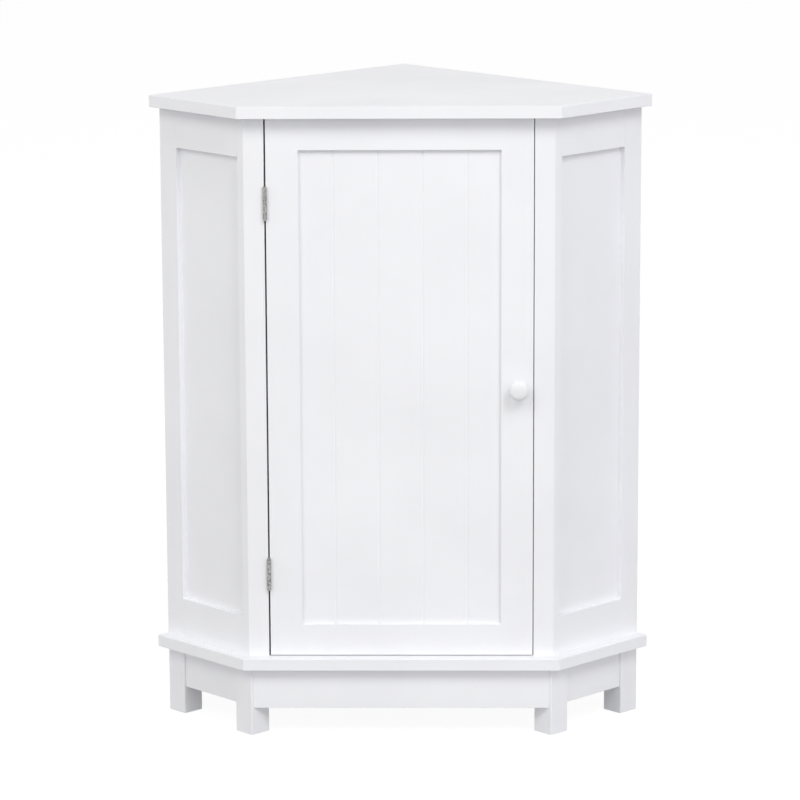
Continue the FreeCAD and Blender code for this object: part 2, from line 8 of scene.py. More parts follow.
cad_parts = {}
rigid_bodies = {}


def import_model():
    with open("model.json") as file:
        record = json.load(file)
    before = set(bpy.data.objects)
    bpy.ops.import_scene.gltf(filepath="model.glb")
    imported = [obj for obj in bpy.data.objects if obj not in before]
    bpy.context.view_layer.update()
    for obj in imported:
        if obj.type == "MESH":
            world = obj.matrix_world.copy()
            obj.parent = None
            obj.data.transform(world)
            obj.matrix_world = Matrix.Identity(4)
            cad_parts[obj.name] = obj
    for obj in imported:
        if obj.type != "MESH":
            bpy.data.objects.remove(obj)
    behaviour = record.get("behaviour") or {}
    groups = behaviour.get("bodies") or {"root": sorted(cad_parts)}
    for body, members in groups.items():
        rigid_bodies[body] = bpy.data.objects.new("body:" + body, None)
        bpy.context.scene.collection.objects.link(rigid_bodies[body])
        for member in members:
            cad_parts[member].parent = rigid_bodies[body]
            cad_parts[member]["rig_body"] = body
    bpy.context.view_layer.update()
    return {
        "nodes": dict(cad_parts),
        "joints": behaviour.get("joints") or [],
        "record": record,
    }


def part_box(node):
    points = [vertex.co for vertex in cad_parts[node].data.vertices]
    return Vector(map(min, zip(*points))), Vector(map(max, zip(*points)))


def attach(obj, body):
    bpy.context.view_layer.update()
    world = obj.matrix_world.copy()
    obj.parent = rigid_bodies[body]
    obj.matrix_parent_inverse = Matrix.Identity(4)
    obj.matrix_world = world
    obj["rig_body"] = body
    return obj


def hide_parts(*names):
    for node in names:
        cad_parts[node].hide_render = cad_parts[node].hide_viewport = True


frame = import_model()
bpy.context.scene.view_settings.view_transform = "Standard"
mm = 0.001
nodeSlots = {row["node"]: row["material_slot"] for row in frame["record"]["subparts"]}
hingeLine = Vector(next(joint["pos_m"] for joint in frame["joints"] if joint["name"] == "door_hinge"))


def addNode(tree, kind, inputs=None, **settings):
    node = tree.nodes.new(kind)
    for name, value in settings.items():
        setattr(node, name, value)
    for key, value in (inputs or {}).items():
        for item in value if isinstance(value, list) else [value]:  # a list feeds one socket with several links
            if isinstance(item, bpy.types.NodeSocket):
                tree.links.new(item, node.inputs[key])
            else:
                node.inputs[key].default_value = item
    return node


# Sockets that share their names, so they are found by number
mixSockets = {"share": 0, "low": 6, "high": 7, "colour": 2}
randomSockets = {"low": 2, "high": 3, "number": 1}


def linear(hexText):
    shares = [int(hexText[at:at + 2], 16) / 255 for at in (1, 3, 5)]
    return (*[share / 12.92 if share <= 0.04045 else ((share + 0.055) / 1.055) ** 2.4 for share in shares], 1)


def perMetre(sizeMm):
    return 1 / (sizeMm * mm)


def startMaterial(name):
    material = bpy.data.materials.new(name)
    material.use_nodes = True
    tree = material.node_tree
    place = addNode(tree, "ShaderNodeTexCoord").outputs["Object"]
    return material, tree, tree.nodes["Principled BSDF"], place


def dressShader(tree, shader, tone, gloss, bump):
    tree.links.new(tone.outputs[mixSockets["colour"]], shader.inputs["Base Color"])
    tree.links.new(gloss.outputs["Result"], shader.inputs["Roughness"])
    tree.links.new(bump.outputs["Normal"], shader.inputs["Normal"])


# White acrylic paint sprayed on fibreboard: an even satin white with a fine orange peel
# and slow clouds where the coat is a little thicker.
# The knob is dipped, so its coat lies smoother, and it dries duller.
sprayedPaint = {
    "sprayedSatinPaint": {
        "thick": "#F1F1F5", "thin": "#ECECF0", "cloudMm": 160,
        "peelMm": 2.4, "peelDepthMm": 0.03,  # real peel is about 1 mm wide, drawn coarser to show
        "roughness": 0.44, "roughnessSwing": 0.05, "ior": 1.49,
    },
    "dippedLacquer": {
        "thick": "#EDEDF0", "thin": "#E8E8EB", "cloudMm": 9,
        "peelMm": 1.2, "peelDepthMm": 0.015,
        "roughness": 0.55, "roughnessSwing": 0.04, "ior": 1.45,
    },
}
paintPattern = {
    "cloud": {"Detail": 3.0, "Roughness": 0.55}, "cloudRange": {"From Min": 0.3, "From Max": 0.7},
    "peel": {"Detail": 1.0, "Roughness": 0.4}, "peelStrength": 0.5,
}


def makePaint(name):
    look = sprayedPaint[name]
    material, tree, shader, place = startMaterial(name)
    cloud = addNode(tree, "ShaderNodeTexNoise", {
        "Vector": place, "Scale": perMetre(look["cloudMm"]), **paintPattern["cloud"]})
    peel = addNode(tree, "ShaderNodeTexNoise", {
        "Vector": place, "Scale": perMetre(look["peelMm"]), **paintPattern["peel"]})
    share = addNode(tree, "ShaderNodeMapRange", {
        "Value": cloud.outputs["Fac"], **paintPattern["cloudRange"]}).outputs["Result"]
    coat = addNode(tree, "ShaderNodeMix", {
        mixSockets["share"]: share, mixSockets["low"]: linear(look["thin"]),
        mixSockets["high"]: linear(look["thick"])}, data_type="RGBA")
    gloss = addNode(tree, "ShaderNodeMapRange", {
        "Value": share, "To Min": look["roughness"] + look["roughnessSwing"],
        "To Max": look["roughness"] - look["roughnessSwing"]})
    bump = addNode(tree, "ShaderNodeBump", {
        "Height": peel.outputs["Fac"], "Strength": paintPattern["peelStrength"],
        "Distance": look["peelDepthMm"] * mm})
    shader.inputs["IOR"].default_value = look["ior"]
    dressShader(tree, shader, coat, gloss, bump)
    return material


# Plated steel: a pressed and tumbled strip under nickel or zinc, so the plating is dull,
# mottled, and scuffed in fine short lines along the strip.
platedSteel = {
    "tumbledNickelPlate": {
        "bright": "#C6C5C2", "dull": "#757472", "mottleMm": 1.6,
        "scuffMm": 0.5, "scuffLengthMm": 9, "scuffDepthMm": 0.02, "roughness": 0.4, "roughnessSwing": 0.1,
    },
    "brightZincPlate": {
        "bright": "#CBCDD0", "dull": "#A3A6AA", "mottleMm": 2.2,
        "scuffMm": 0.6, "scuffLengthMm": 5, "scuffDepthMm": 0.015, "roughness": 0.3, "roughnessSwing": 0.08,
    },
}
platePattern = {
    "mottle": {"Detail": 4.0, "Roughness": 0.6}, "mottleRange": {"From Min": 0.4, "From Max": 0.6},
    "scuff": {"Detail": 2.0}, "scuffStrength": 0.4,
}


def makePlate(name):
    look = platedSteel[name]
    material, tree, shader, place = startMaterial(name)
    mottle = addNode(tree, "ShaderNodeTexNoise", {
        "Vector": place, "Scale": perMetre(look["mottleMm"]), **platePattern["mottle"]})
    along = addNode(tree, "ShaderNodeMapping", {
        "Vector": place, "Scale": (1, 1, look["scuffMm"] / look["scuffLengthMm"])})
    scuff = addNode(tree, "ShaderNodeTexNoise", {
        "Vector": along.outputs["Vector"], "Scale": perMetre(look["scuffMm"]), **platePattern["scuff"]})
    share = addNode(tree, "ShaderNodeMapRange", {
        "Value": mottle.outputs["Fac"], **platePattern["mottleRange"]}).outputs["Result"]
    tone = addNode(tree, "ShaderNodeMix", {
        mixSockets["share"]: share, mixSockets["low"]: linear(look["dull"]),
        mixSockets["high"]: linear(look["bright"])}, data_type="RGBA")
    gloss = addNode(tree, "ShaderNodeMapRange", {
        "Value": scuff.outputs["Fac"], "To Min": look["roughness"] - look["roughnessSwing"],
        "To Max": look["roughness"] + look["roughnessSwing"]})
    bump = addNode(tree, "ShaderNodeBump", {
        "Height": scuff.outputs["Fac"], "Strength": platePattern["scuffStrength"],
        "Distance": look["scuffDepthMm"] * mm})
    shader.inputs["Metallic"].default_value = 1
    dressShader(tree, shader, tone, gloss, bump)
    return material


# Moulded ABS has the fine spark texture of its mould. Sintered ferrite is a dull, grainy near-black.
grainyFinish = {
    "mouldedAbs": {
        "light": "#E6E6E2", "dark": "#DCDCD8", "grainMm": 0.7, "grainDepthMm": 0.04,
        "roughness": 0.5, "roughnessSwing": 0.06, "ior": 1.54,
    },
    "sinteredFerrite": {
        "light": "#34343A", "dark": "#1E1E22", "grainMm": 0.5, "grainDepthMm": 0.03,
        "roughness": 0.7, "roughnessSwing": 0.06, "ior": 1.5,
    },
}
grainPattern = {"grain": {"Detail": 3.0, "Roughness": 0.7}, "grainStrength": 0.5}


def makeGrainy(name):
    look = grainyFinish[name]
    material, tree, shader, place = startMaterial(name)
    grain = addNode(tree, "ShaderNodeTexNoise", {
        "Vector": place, "Scale": perMetre(look["grainMm"]), **grainPattern["grain"]}).outputs["Fac"]
    tone = addNode(tree, "ShaderNodeMix", {
        mixSockets["share"]: grain, mixSockets["low"]: linear(look["dark"]),
        mixSockets["high"]: linear(look["light"])}, data_type="RGBA")
    gloss = addNode(tree, "ShaderNodeMapRange", {
        "Value": grain, "To Min": look["roughness"] - look["roughnessSwing"],
        "To Max": look["roughness"] + look["roughnessSwing"]})
    bump = addNode(tree, "ShaderNodeBump", {
        "Height": grain, "Strength": grainPattern["grainStrength"], "Distance": look["grainDepthMm"] * mm})
    shader.inputs["IOR"].default_value = look["ior"]
    dressShader(tree, shader, tone, gloss, bump)
    return material


satinPaint, knobLacquer = makePaint("sprayedSatinPaint"), makePaint("dippedLacquer")
nickelPlate, zincPlate = makePlate("tumbledNickelPlate"), makePlate("brightZincPlate")
mouldedAbs, ferrite = makeGrainy("mouldedAbs"), makeGrainy("sinteredFerrite")
print("materials:", len(bpy.data.materials))

# How a solid's triangles become clean faces, and where its arrises are
meshing = {"weldMm": 0.002, "flatDegrees": 0.5, "arrisDegrees": 40, "easeSegments": 2, "easeProfile": 0.5}


def cadShape(nodeName):
    shape = bmesh.new()
    shape.from_mesh(frame["nodes"][nodeName].data)
    bmesh.ops.remove_doubles(shape, verts=shape.verts, dist=meshing["weldMm"] * mm)
    bmesh.ops.dissolve_limit(
        shape, angle_limit=math.radians(meshing["flatDegrees"]), verts=shape.verts, edges=shape.edges)
    return shape


def easeEdges(shape, easeMm, shortestMm):
    arrises = [
        edge for edge in shape.edges
        if len(edge.link_faces) == 2
        and edge.calc_face_angle() > math.radians(meshing["arrisDegrees"])
        and edge.calc_length() > shortestMm * mm
    ]
    bmesh.ops.bevel(
        shape, geom=arrises, offset=easeMm * mm, offset_type="OFFSET",
        segments=meshing["easeSegments"], profile=meshing["easeProfile"], affect="EDGES", clamp_overlap=True)


def toMesh(name, shape):
    mesh = bpy.data.meshes.new(name)
    shape.to_mesh(mesh)
    shape.free()
    return mesh


def plainMesh(holder):
    mesh = bpy.data.meshes.new_from_object(holder.evaluated_get(bpy.context.evaluated_depsgraph_get()))
    bpy.data.objects.remove(holder)
    return mesh


def addObject(name, data):
    holder = bpy.data.objects.new(name, data)
    bpy.context.scene.collection.objects.link(holder)
    return holder


def shadeRound(mesh, sharpDegrees):
    mesh.shade_smooth()
    mesh.set_sharp_from_angle(angle=math.radians(sharpDegrees))


def shadeEased(name, mesh, sharpDegrees):
    shadeRound(mesh, sharpDegrees)
    holder = addObject(name + "Holder", mesh)
    holder.modifiers.new("faceWeights", "WEIGHTED_NORMAL").keep_sharp = True  # large faces stay flat
    return plainMesh(holder)


def addPiece(name, mesh, material, body, stoodFor=()):
    mesh.name = name
    mesh.materials.clear()
    mesh.materials.append(material)
    piece = addObject(name, mesh)
    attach(piece, body)
    if stoodFor:
        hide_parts(*stoodFor)


def camelName(nodeName):
    first, *rest = nodeName.split("_")
    return first + "".join(word.capitalize() for word in rest)


# Boards and catch: the solids with their arrises sanded over before painting
boards = {
    "easeMm": 0.35,
    "shortestMm": {"carcass_paint": 45, "door_paint": 45, "catch_plastic": 8, "catch_steel": 8},
    "legShortestMm": 20,
    "sharpDegrees": 35,
}
boardFinishes = {
    "carcass_paint": satinPaint, "door_paint": satinPaint,
    "catch_plastic": mouldedAbs, "catch_steel": zincPlate,
}
for nodeName in sorted(frame["nodes"]):
    slot = nodeSlots[nodeName]
    if slot not in boardFinishes or nodeName == "door_panel":
        continue
    shape = cadShape(nodeName)
    shortest = boards["legShortestMm"] if nodeName.endswith("_leg") else boards["shortestMm"][slot]
    easeEdges(shape, boards["easeMm"], shortest)
    mesh = shadeEased(nodeName, toMesh(nodeName, shape), boards["sharpDegrees"])
    body = frame["nodes"][nodeName]["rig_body"]
    addPiece(camelName(nodeName), mesh, boardFinishes[slot], body, [nodeName])
print("boards eased")


def newTree(name, sizes, takesMesh=False):
    tree = bpy.data.node_groups.new(name, "GeometryNodeTree")
    tree.interface.new_socket(name="Geometry", in_out="OUTPUT", socket_type="NodeSocketGeometry")
    if takesMesh:
        tree.interface.new_socket(name="Geometry", in_out="INPUT", socket_type="NodeSocketGeometry")
    socketKinds = {int: "NodeSocketInt", float: "NodeSocketFloat"}
    for label, size in sizes.items():
        tree.interface.new_socket(name=label, in_out="INPUT", socket_type=socketKinds[type(size)])
    return tree, addNode(tree, "NodeGroupInput").outputs


def closeTree(tree, shape, material):
    whole = addNode(tree, "GeometryNodeRealizeInstances", {"Geometry": shape})
    dressed = addNode(tree, "GeometryNodeSetMaterial", {"Geometry": whole.outputs[0], "Material": material})
    addNode(tree, "NodeGroupOutput", {"Geometry": dressed.outputs[0]})


def growMesh(name, tree, sizes, carrier=None):
    holder = addObject(name + "Holder", carrier or bpy.data.meshes.new(name))
    modifier = holder.modifiers.new(name, "NODES")
    modifier.node_group = tree
    for item in tree.interface.items_tree:
        if item.in_out == "INPUT" and item.name in sizes:
            modifier[item.identifier] = sizes[item.name]
    return plainMesh(holder)


def spotMesh(name, spots):
    mesh = bpy.data.meshes.new(name)  # one vertex a place, with the way that it faces
    mesh.from_pydata([place for place, way in spots], [], [])
    ways = mesh.attributes.new("facing", "FLOAT_VECTOR", "POINT")
    for entry, (place, way) in zip(ways.data, spots):
        entry.vector = way
    return mesh


# Door panel: one board with V grooves at every plank's edge, their arrises softened by the paint
plankPanel = {"Plank Width": 55 * mm, "Groove Width": 5 * mm, "Groove Depth": 1 * mm, "Columns": 640}
panelFinish = {"weldMm": 0.005, "sharpDegrees": 60}


def growPlankPanel():
    low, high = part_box("door_panel")
    sizes = {
        "Width": high.x - low.x, "Height": high.z - low.z, "Thickness": high.y - low.y, **plankPanel}
    tree, size = newTree("plankPanelTree", sizes)
    grid = addNode(tree, "GeometryNodeMeshGrid", {
        "Size X": size["Width"], "Size Y": size["Height"], "Vertices X": size["Columns"], "Vertices Y": 2})
    position = addNode(tree, "GeometryNodeInputPosition").outputs[0]
    spot = addNode(tree, "ShaderNodeSeparateXYZ", {0: position})
    planks = addNode(tree, "ShaderNodeMath", {0: spot.outputs["X"], 1: size["Plank Width"]}, operation="DIVIDE")
    share = addNode(tree, "ShaderNodeMath", {0: planks.outputs[0]}, operation="FRACT")
    off = addNode(tree, "ShaderNodeMath", {0: share.outputs[0], 1: 0.5}, operation="SUBTRACT")  # from a groove
    apart = addNode(tree, "ShaderNodeMath", {0: off.outputs[0]}, operation="ABSOLUTE")
    distance = addNode(
        tree, "ShaderNodeMath", {0: apart.outputs[0], 1: size["Plank Width"]}, operation="MULTIPLY")
    reach = addNode(tree, "ShaderNodeMath", {0: size["Groove Width"], 1: 0.5}, operation="MULTIPLY")
    depth = addNode(tree, "ShaderNodeMapRange", {
        "Value": distance.outputs[0], "From Min": 0.0, "From Max": reach.outputs[0],
        "To Min": size["Groove Depth"], "To Max": 0.0}, interpolation_type="SMOOTHSTEP")
    face = addNode(tree, "ShaderNodeCombineXYZ", {
        "X": spot.outputs["X"], "Y": depth.outputs["Result"], "Z": spot.outputs["Y"]})
    front = addNode(tree, "GeometryNodeSetPosition", {
        "Geometry": grid.outputs["Mesh"], "Position": face.outputs[0]})
    rear = addNode(tree, "ShaderNodeCombineXYZ", {"Y": 1.0})  # unlinked, the offset would follow the normals
    back = addNode(tree, "GeometryNodeExtrudeMesh", {
        "Mesh": front.outputs[0], "Offset": rear.outputs[0], "Offset Scale": size["Thickness"],
        "Individual": False})
    level = addNode(tree, "ShaderNodeCombineXYZ", {
        "X": spot.outputs["X"], "Y": size["Thickness"], "Z": spot.outputs["Z"]})
    flat = addNode(tree, "GeometryNodeSetPosition", {
        "Geometry": back.outputs["Mesh"], "Selection": back.outputs["Top"], "Position": level.outputs[0]})
    both = addNode(tree, "GeometryNodeJoinGeometry", {0: [front.outputs[0], flat.outputs[0]]})
    closed = addNode(tree, "GeometryNodeMergeByDistance", {
        "Geometry": both.outputs[0], "Distance": panelFinish["weldMm"] * mm})
    closeTree(tree, closed.outputs[0], satinPaint)
    shape = bmesh.new()
    shape.from_mesh(growMesh("plankPanel", tree, sizes))
    bmesh.ops.recalc_face_normals(shape, faces=shape.faces)
    bmesh.ops.translate(shape, verts=shape.verts, vec=((low.x + high.x) / 2, low.y, (low.z + high.z) / 2))
    mesh = toMesh("plankPanel", shape)
    shadeRound(mesh, panelFinish["sharpDegrees"])
    addPiece("plankPanel", mesh, satinPaint, "door", ["door_panel"])


growPlankPanel()
print("door panel planked")


def turnedMesh(name, profileMm, steps):
    shape = bmesh.new()
    line = [shape.verts.new((radius * mm, 0, height * mm)) for radius, height in profileMm]
    edges = [shape.edges.new(pair) for pair in zip(line, line[1:])]
    bmesh.ops.spin(shape, geom=line + edges, cent=(0, 0, 0), axis=(0, 0, 1), angle=math.tau, steps=steps)
    bmesh.ops.remove_doubles(shape, verts=shape.verts, dist=meshing["weldMm"] * mm)
    bmesh.ops.recalc_face_normals(shape, faces=shape.faces)
    return toMesh(name, shape)


def facing(way):
    return Vector(way).to_track_quat("Z", "Y").to_matrix().to_4x4()


# Knob: a full, low-domed head that draws in to a short neck
knob = {
    "headRadiusMm": 12, "domeMm": 6.2, "fullness": 2.8, "backMm": 6.5, "backDegrees": 52,
    "neckRadiusMm": 5.6, "neckAtMm": 2.6, "footRadiusMm": 6.6, "footMm": 0.8,
    "domeSteps": 28, "backSteps": 12, "throatSteps": 7, "turnSteps": 72, "sharpDegrees": 50,
}


def turnKnob():
    low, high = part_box("door_knob")
    rim = (high.y - low.y) / mm - knob["domeMm"]
    fromAngle = math.radians(knob["backDegrees"])
    throatRadius = knob["headRadiusMm"] * math.cos(fromAngle)
    throatHeight = rim - knob["backMm"] * math.sin(fromAngle)
    profile = [(0, 0), (knob["footRadiusMm"], 0), (knob["footRadiusMm"], knob["footMm"])]
    for step in range(knob["throatSteps"]):  # the neck opens into the head in a hollow curve
        share = step / knob["throatSteps"]
        profile.append((
            knob["neckRadiusMm"] + (throatRadius - knob["neckRadiusMm"]) * share ** 2,
            knob["neckAtMm"] + (throatHeight - knob["neckAtMm"]) * share))
    for step in range(knob["backSteps"]):
        angle = fromAngle * (1 - step / knob["backSteps"])
        profile.append((knob["headRadiusMm"] * math.cos(angle), rim - knob["backMm"] * math.sin(angle)))
    power = 2 / knob["fullness"]
    for step in range(knob["domeSteps"]):
        angle = math.pi / 2 * step / knob["domeSteps"]
        profile.append((
            knob["headRadiusMm"] * math.cos(angle) ** power, rim + knob["domeMm"] * math.sin(angle) ** power))
    profile.append((0, rim + knob["domeMm"]))
    mesh = turnedMesh("knob", profile, knob["turnSteps"])
    seat = Matrix.Translation(((low.x + high.x) / 2, high.y, (low.z + high.z) / 2))
    mesh.transform(seat @ facing((0, -1, 0)))
    shadeRound(mesh, knob["sharpDegrees"])
    addPiece("turnedKnob", mesh, knobLacquer, "door", ["door_knob"])


turnKnob()
print("knob turned")

# Screws: a recessed head on a plain shank, each turned by chance
screwSides = {"head": 40, "shank": 24, "sharpDegrees": 30}
leafScrew = {
    "Head Top": 2.7 * mm, "Head Bottom": 1.3 * mm, "Head Depth": 1.3 * mm, "Sink": 0.12 * mm,
    "Shank Radius": 1.3 * mm, "Length": 12.0 * mm, "Recess Length": 3.0 * mm, "Recess Width": 0.62 * mm,
    "Recess Depth": 1.0 * mm, "Seed": 4,
}
panScrew = {
    "Head Top": 2.2 * mm, "Head Bottom": 2.9 * mm, "Head Depth": 1.5 * mm, "Sink": -1.5 * mm,
    "Shank Radius": 1.4 * mm, "Length": 11.0 * mm, "Recess Length": 3.0 * mm, "Recess Width": 0.7 * mm,
    "Recess Depth": 1.0 * mm, "Seed": 9,
}
knobScrew = {
    "Head Top": 3.1 * mm, "Head Bottom": 4.0 * mm, "Head Depth": 2.4 * mm, "Sink": -2.4 * mm,
    "Shank Radius": 2.0 * mm, "Length": 26.0 * mm, "Recess Length": 4.2 * mm, "Recess Width": 0.9 * mm,
    "Recess Depth": 1.5 * mm, "Seed": 2,
}


def placeOnSpots(tree, size, instance):
    ways = addNode(tree, "GeometryNodeInputNamedAttribute", {"Name": "facing"}, data_type="FLOAT_VECTOR")
    aim = addNode(tree, "FunctionNodeAlignRotationToVector", {"Vector": ways.outputs["Attribute"]}, axis="Z")
    turn = addNode(tree, "FunctionNodeRandomValue", {
        randomSockets["low"]: 0.0, randomSockets["high"]: math.tau, "Seed": size["Seed"]}, data_type="FLOAT")
    spin = addNode(tree, "FunctionNodeAxisAngleToRotation", {
        "Axis": (0, 0, 1), "Angle": turn.outputs[randomSockets["number"]]})
    both = addNode(tree, "FunctionNodeRotateRotation", {
        "Rotation": aim.outputs[0], "Rotate By": spin.outputs[0]}, rotation_space="LOCAL")
    return addNode(tree, "GeometryNodeInstanceOnPoints", {
        "Points": size["Geometry"], "Instance": instance, "Rotation": both.outputs[0]}).outputs[0]


def moveAlong(tree, shape, height):
    lift = addNode(tree, "ShaderNodeCombineXYZ", {"Z": height}).outputs[0]
    return addNode(tree, "GeometryNodeTransform", {"Geometry": shape, "Translation": lift}).outputs[0]


def screwTree():
    tree, size = newTree("crossScrewTree", leafScrew, takesMesh=True)
    head = addNode(tree, "GeometryNodeMeshCone", {
        "Vertices": screwSides["head"], "Radius Top": size["Head Top"], "Radius Bottom": size["Head Bottom"],
        "Depth": size["Head Depth"]})
    top = addNode(tree, "ShaderNodeMath", {0: 0.0, 1: size["Sink"]}, operation="SUBTRACT").outputs[0]
    foot = addNode(tree, "ShaderNodeMath", {0: top, 1: size["Head Depth"]}, operation="SUBTRACT").outputs[0]
    shank = addNode(tree, "GeometryNodeMeshCylinder", {
        "Vertices": screwSides["shank"], "Radius": size["Shank Radius"], "Depth": size["Length"]})
    middle = addNode(tree, "ShaderNodeMath", {0: size["Length"], 1: -0.5, 2: foot}, operation="MULTIPLY_ADD")
    slots = []
    for across, along in (("Recess Length", "Recess Width"), ("Recess Width", "Recess Length")):
        slotSize = addNode(tree, "ShaderNodeCombineXYZ", {
            "X": size[across], "Y": size[along], "Z": size["Recess Depth"]})
        cutter = addNode(tree, "GeometryNodeMeshCube", {"Size": slotSize.outputs[0]})
        slots.append(moveAlong(tree, cutter.outputs["Mesh"], top))
    recessed = addNode(tree, "GeometryNodeMeshBoolean", {
        0: moveAlong(tree, head.outputs["Mesh"], foot), 1: slots}, operation="DIFFERENCE")
    screw = addNode(tree, "GeometryNodeJoinGeometry", {
        0: [recessed.outputs["Mesh"], moveAlong(tree, shank.outputs["Mesh"], middle.outputs[0])]})
    closeTree(tree, placeOnSpots(tree, size, screw.outputs[0]), zincPlate)
    return tree


crossScrews = screwTree()


def addScrews(name, spots, sizes, body, stoodFor=()):
    mesh = growMesh(name, crossScrews, sizes, spotMesh(name, spots))
    shadeRound(mesh, screwSides["sharpDegrees"])
    addPiece(name, mesh, zincPlate, body, stoodFor)


# Hinges: the solids' leaves, countersunk for their screws
hinges = {
    "screwSpreadMm": 25, "screwSetbackMm": 10, "leafFaceMm": 0.2,
    "easeMm": 0.15, "shortestMm": 4, "sharpDegrees": 35,
}
leafSink = {"Top Radius": 2.9 * mm, "Bottom Radius": 1.6 * mm, "Depth": 1.3 * mm, "Lift": 0.05 * mm, "Seed": 0}


def sinkTree():
    tree, size = newTree("leafSinkTree", leafSink, takesMesh=True)
    cone = addNode(tree, "GeometryNodeMeshCone", {
        "Vertices": screwSides["head"], "Radius Top": size["Top Radius"],
        "Radius Bottom": size["Bottom Radius"], "Depth": size["Depth"]})
    low = addNode(tree, "ShaderNodeMath", {0: size["Lift"], 1: size["Depth"]}, operation="SUBTRACT")
    sunk = moveAlong(tree, cone.outputs["Mesh"], low.outputs[0])
    closeTree(tree, placeOnSpots(tree, size, sunk), nickelPlate)
    return tree


leafSinks = sinkTree()


def sinkLeaf(nodeName, spots):
    shape = cadShape(nodeName)
    easeEdges(shape, hinges["easeMm"], hinges["shortestMm"])
    holder = addObject(nodeName + "Holder", toMesh(nodeName, shape))
    cutter = addObject("sinks", growMesh("sinks", leafSinks, leafSink, spotMesh("sinks", spots)))
    sink = holder.modifiers.new("sinks", "BOOLEAN")
    sink.object = cutter
    sink.solver = "EXACT"
    mesh = plainMesh(holder)
    bpy.data.objects.remove(cutter)
    return shadeEased(nodeName, mesh, hinges["sharpDegrees"])


def fitHinges():
    for body, leafName, side in (("carcass", "post", -1), ("door", "door", 1)):
        spots = []
        for level in ("upper", "lower"):
            nodeName = f"{level}_hinge_{leafName}_leaf"
            low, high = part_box(nodeName)
            x = hingeLine.x + side * hinges["leafFaceMm"] * mm
            y = hingeLine.y + hinges["screwSetbackMm"] * mm
            heights = [(low.z + high.z) / 2 + step * hinges["screwSpreadMm"] / 2 * mm for step in (-1, 1)]
            leafSpots = [((x, y, height), (-side, 0, 0)) for height in heights]
            mesh = sinkLeaf(nodeName, leafSpots)
            addPiece(camelName(nodeName), mesh, nickelPlate, body, [nodeName])
            spots += leafSpots
        addScrews(f"{leafName}LeafScrews", spots, leafScrew, body)


fitHinges()

# Hinge pins: wire with both ends spread into low domes
hingePin = {
    "radiusMm": 1.25, "headRadiusMm": 2.2, "headMm": 0.8, "domeSteps": 6, "turnSteps": 32, "sharpDegrees": 40}


def addPins():
    angles = [math.pi / 2 * step / hingePin["domeSteps"] for step in range(hingePin["domeSteps"])]
    for level in ("upper", "lower"):
        nodeName = f"{level}_hinge_pin"
        low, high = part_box(nodeName)
        half = (high.z - low.z) / 2 / mm
        dome = [
            (hingePin["headRadiusMm"] * math.cos(angle), half - hingePin["headMm"] * (1 - math.sin(angle)))
            for angle in angles
        ]
        upper = [(hingePin["radiusMm"], half - hingePin["headMm"]), *dome, (0, half)]
        profile = [(radius, -height) for radius, height in reversed(upper)] + upper
        mesh = turnedMesh(nodeName, profile, hingePin["turnSteps"])
        mesh.transform(Matrix.Translation((hingeLine.x, hingeLine.y, (low.z + high.z) / 2)))
        shadeRound(mesh, hingePin["sharpDegrees"])
        addPiece(camelName(nodeName), mesh, nickelPlate, "carcass", [nodeName])


addPins()
print("hinges fitted")

# Catch, strike and knob: the screws that hold them
fixings = {"earInsetMm": 4.5, "earMm": 2.6}


def addFixings():
    low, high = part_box("catch_housing")
    earSpots = [
        ((x, (low.y + high.y) / 2, high.z - fixings["earMm"] * mm), (0, 0, -1))
        for x in (low.x + fixings["earInsetMm"] * mm, high.x - fixings["earInsetMm"] * mm)
    ]
    addScrews("catchScrews", earSpots, panScrew, "carcass")
    low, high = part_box("strike_plate")
    strikeSpot = ((low.x + high.x) / 2, high.y, (low.z + high.z) / 2)
    addScrews("strikeScrew", [(strikeSpot, (0, 1, 0))], leafScrew, "door")
    low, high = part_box("knob_screw")
    shoulder = high.y - knobScrew["Head Depth"]
    knobSpot = ((low.x + high.x) / 2, shoulder, (low.z + high.z) / 2)
    addScrews("knobScrew", [(knobSpot, (0, 1, 0))], knobScrew, "door", ["knob_screw"])
    magnet = frame["nodes"]["catch_magnet"].data
    magnet.materials.clear()
    magnet.materials.append(ferrite)


addFixings()
print("catch and knob fixed")

# Shelf pins: plain pegs with a thin collar against the board
shelfPin = {
    "Radius": 2.5 * mm, "Seat": 8.0 * mm, "Reach": 9.0 * mm,
    "Collar Radius": 3.6 * mm, "Collar": 1.2 * mm, "Tip": 0.8 * mm, "Sides": 32, "Seed": 1,
}
shelfPinSpots = {"backXMm": 95.459, "backYMm": 99.022, "postXMm": 174.771, "postYMm": -176.195, "heightMm": 428}
shelfPinSharpDegrees = 35


